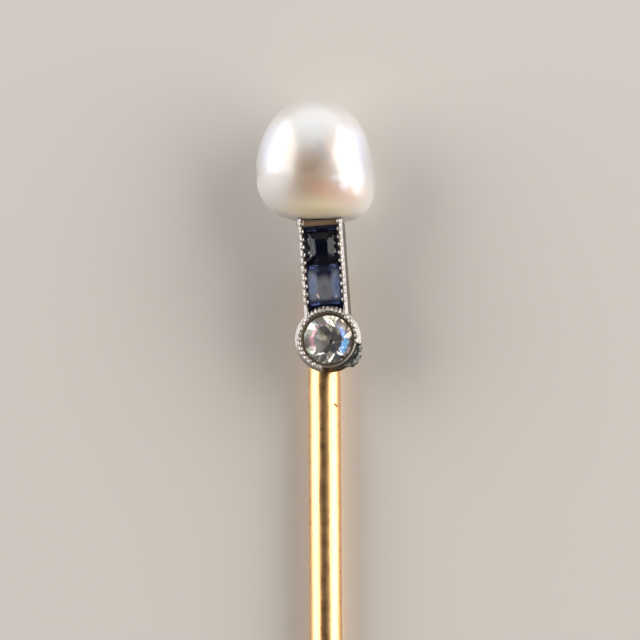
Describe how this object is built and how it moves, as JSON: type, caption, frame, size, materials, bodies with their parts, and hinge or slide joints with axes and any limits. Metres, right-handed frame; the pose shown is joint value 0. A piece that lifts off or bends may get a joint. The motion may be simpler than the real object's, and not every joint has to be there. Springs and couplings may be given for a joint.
{
  "type": "stick pin",
  "caption": "Stick pin with a pearl on a leaning beaded bar, two channel-set step-cut blue stones, a round brilliant in a beaded bezel and a tapered round stem.",
  "frame": {"origin": "on the surface that the pin lies on, under the stem's axis, half way along the pin", "axes": "+Y along the stem towards the pearl, +Z out of the face, +X to the right seen from the front"},
  "size_m": [0.0048, 0.062, 0.0042],
  "materials": {
    "pearl": "lustrous nacre",
    "platinum": "polished, worn",
    "gold": "polished, fine scratches",
    "dark_sapphire": "faceted",
    "blue_sapphire": "faceted",
    "diamond": "faceted"
  },
  "bodies": {
    "root": {"pearl": "pearl", "setting": "platinum", "sapphire_upper": "dark_sapphire", "sapphire_lower": "blue_sapphire", "diamond": "diamond", "stem": "gold"}
  },
  "joints": []
}
